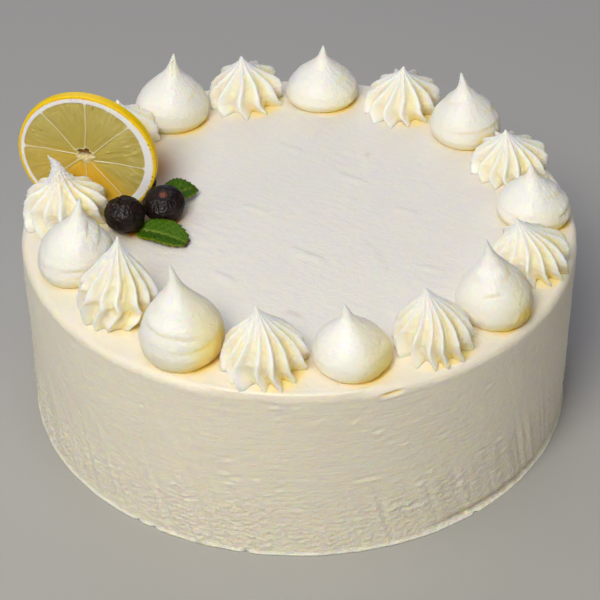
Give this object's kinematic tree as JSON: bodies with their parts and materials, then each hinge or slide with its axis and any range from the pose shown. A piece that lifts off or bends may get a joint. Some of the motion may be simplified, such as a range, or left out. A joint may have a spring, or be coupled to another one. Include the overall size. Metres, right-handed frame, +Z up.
{
  "type": "decorated chiffon cake",
  "caption": "Round creamed cake with smooth sides, a ring of piped cream dollops round its top, an upright citrus slice, dark berries and mint leaves.",
  "frame": {"origin": "middle of the flat underside, where the cake stands", "axes": "+Z up, -Y the front, +X to the right seen from the front"},
  "size_m": [0.214, 0.2124, 0.1235],
  "materials": {
    "cream": "whipped cream smoothed with a scraper, soft and slightly moist",
    "piped_cream": "piped whipped cream, soft satin",
    "lemon": "cut lemon, wet flesh, white pith and waxy yellow peel",
    "berry": "dark berry skin, taut and softly glossy",
    "mint": "fresh mint leaf, quilted, satin"
  },
  "bodies": {
    "root": {"frosted_cake": "cream", "star_dollop_1": "piped_cream", "star_dollop_2": "piped_cream", "star_dollop_3": "piped_cream", "star_dollop_4": "piped_cream", "star_dollop_5": "piped_cream", "star_dollop_6": "piped_cream", "star_dollop_7": "piped_cream", "star_dollop_8": "piped_cream", "star_dollop_9": "piped_cream", "plain_dollop_1": "piped_cream", "plain_dollop_2": "piped_cream", "plain_dollop_3": "piped_cream", "plain_dollop_4": "piped_cream", "plain_dollop_5": "piped_cream", "plain_dollop_6": "piped_cream", "plain_dollop_7": "piped_cream", "plain_dollop_8": "piped_cream", "plain_dollop_9": "piped_cream", "lemon_slice": "lemon", "berry_1": "berry", "berry_2": "berry", "berry_3": "berry", "mint_leaf_1": "mint", "mint_leaf_2": "mint"}
  },
  "joints": []
}
